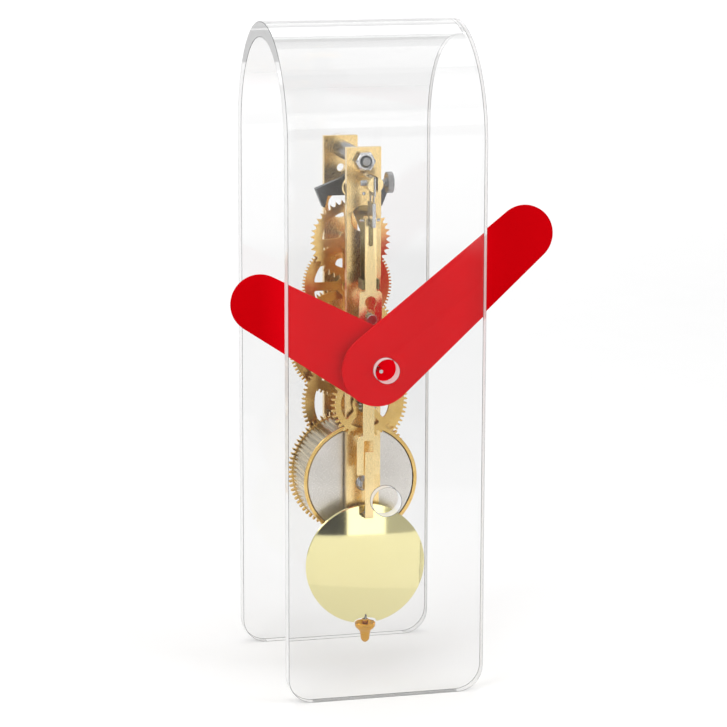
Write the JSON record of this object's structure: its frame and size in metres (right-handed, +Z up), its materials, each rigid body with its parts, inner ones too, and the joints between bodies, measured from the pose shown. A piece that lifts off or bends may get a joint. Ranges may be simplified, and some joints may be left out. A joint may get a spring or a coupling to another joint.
{
  "type": "acrylic table clock",
  "caption": "Clear acrylic arch standing on a table, with a narrow brass pendulum movement on its rear wall and two red hands on the centre arbor.",
  "frame": {"origin": "middle of the front wall's foot, on the table", "axes": "+X to the right seen from the front, +Y to the back, +Z up"},
  "size_m": [0.1272, 0.0927, 0.26],
  "materials": {
    "clear_acrylic": "clear polished acrylic sheet",
    "brass": "brushed and lacquered",
    "polished_brass": "polished pale brass",
    "steel": "bright turned steel",
    "satin_steel": "satin grey steel",
    "dark_steel": "dark hardened steel",
    "red_hand": "satin red lacquer on sheet"
  },
  "bodies": {
    "case_and_frame": {"acrylic_case": "clear_acrylic", "front_plate": "brass", "rear_plate": "brass", "pillar_upper": "steel", "pillar_lower": "steel", "nut_front_upper": "steel", "plate_screw_lower": "steel", "rear_standoff_upper": "satin_steel", "rear_standoff_lower": "satin_steel", "case_screw_upper": "steel", "case_screw_lower": "steel", "suspension_post": "brass", "suspension_block_top": "steel", "suspension_spring_front": "steel", "suspension_spring_rear": "steel", "minute_stud": "steel", "click_screw": "steel", "click_spring": "steel"},
    "centre": {"centre_wheel": "brass", "centre_arbor": "steel", "cannon_pinion": "brass", "minute_hand": "red_hand"},
    "minute_wheel_set": {"minute_wheel": "brass", "minute_pinion": "steel"},
    "hour": {"hour_wheel": "brass", "hour_hand": "red_hand"},
    "second": {"second_wheel": "brass", "second_arbor": "steel"},
    "barrel": {"great_wheel": "brass", "barrel_drum": "brass", "barrel_cover": "satin_steel"},
    "third": {"third_wheel": "brass", "third_arbor": "steel"},
    "escape": {"escape_wheel": "brass", "escape_arbor": "steel"},
    "anchor_set": {"anchor": "dark_steel", "anchor_collet": "brass", "anchor_arbor": "steel", "crutch": "brass"},
    "pendulum": {"suspension_block_lower": "steel", "cross_pin": "steel", "leader_upper": "brass", "leader_stud": "steel", "leader_lower": "brass", "pendulum_rod": "brass", "rating_screw": "steel"},
    "bob": {"bob": "polished_brass"},
    "nut": {"rating_nut": "brass"},
    "thumbscrew": {"thumbscrew": "steel"},
    "winding": {"winding_arbor": "steel", "ratchet_wheel": "steel"},
    "click": {"click": "steel"}
  },
  "joints": [
    {"name": "centre_turn", "type": "hinge", "parent": "case_and_frame", "child": "centre", "pos_m": [0, 0.0366, 0.1278], "axis": [0, 1, 0], "continuous": true},
    {"name": "minute_wheel_turn", "type": "hinge", "parent": "case_and_frame", "child": "minute_wheel_set", "pos_m": [0, 0.0366, 0.1098], "axis": [0, 1, 0], "continuous": true},
    {"name": "hour_turn", "type": "hinge", "parent": "case_and_frame", "child": "hour", "pos_m": [0, 0.0366, 0.1278], "axis": [0, 1, 0], "continuous": true},
    {"name": "second_turn", "type": "hinge", "parent": "case_and_frame", "child": "second", "pos_m": [0.0035, 0.0366, 0.1044], "axis": [0, 1, 0], "continuous": true},
    {"name": "barrel_turn", "type": "hinge", "parent": "case_and_frame", "child": "barrel", "pos_m": [0, 0.0366, 0.0772], "axis": [0, 1, 0], "continuous": true},
    {"name": "third_turn", "type": "hinge", "parent": "case_and_frame", "child": "third", "pos_m": [0, 0.0366, 0.1521], "axis": [0, 1, 0], "continuous": true},
    {"name": "escape_turn", "type": "hinge", "parent": "case_and_frame", "child": "escape", "pos_m": [0, 0.0366, 0.17155], "axis": [0, 1, 0], "continuous": true},
    {"name": "pendulum_swing", "type": "hinge", "parent": "case_and_frame", "child": "pendulum", "pos_m": [0, 0.0184, 0.1931], "axis": [0, 1, 0], "range_deg": [-3, 3]},
    {"name": "anchor_rock", "type": "hinge", "parent": "case_and_frame", "child": "anchor_set", "pos_m": [0, 0.0366, 0.1931], "axis": [0, 1, 0], "range_deg": [-3, 3]},
    {"name": "bob_slide", "type": "slide", "parent": "pendulum", "child": "bob", "axis": [0, 0, 1], "range_m": [-0.0004, 0.0004]},
    {"name": "nut_turn", "type": "hinge", "parent": "bob", "child": "nut", "pos_m": [0, 0.0332, 0.0208], "axis": [0, 0, 1], "range_deg": [-361, 361]},
    {"name": "thumbscrew_turn", "type": "hinge", "parent": "case_and_frame", "child": "thumbscrew", "pos_m": [0, 0.0215, 0.1994], "axis": [1, 0, 0], "range_deg": [-180, 180]},
    {"name": "winding_turn", "type": "hinge", "parent": "case_and_frame", "child": "winding", "pos_m": [0, 0.0366, 0.0772], "axis": [0, 1, 0], "range_deg": [0, 1800]},
    {"name": "click_lift", "type": "hinge", "parent": "case_and_frame", "child": "click", "pos_m": [-0.003, 0.0741, 0.09101], "axis": [0, 1, 0], "range_deg": [-12, 0]}
  ],
  "couplings": [
    {"joint": "minute_wheel_turn", "follows": "centre_turn", "ratio": -0.38889},
    {"joint": "hour_turn", "follows": "centre_turn", "ratio": 0.083333},
    {"joint": "second_turn", "follows": "centre_turn", "ratio": -0.11111},
    {"joint": "barrel_turn", "follows": "centre_turn", "ratio": 0.013889},
    {"joint": "third_turn", "follows": "centre_turn", "ratio": -9.7778},
    {"joint": "escape_turn", "follows": "centre_turn", "ratio": 117.33},
    {"joint": "anchor_rock", "follows": "pendulum_swing", "ratio": 1},
    {"joint": "nut_turn", "follows": "bob_slide", "rad_per_m": 15708}
  ]
}
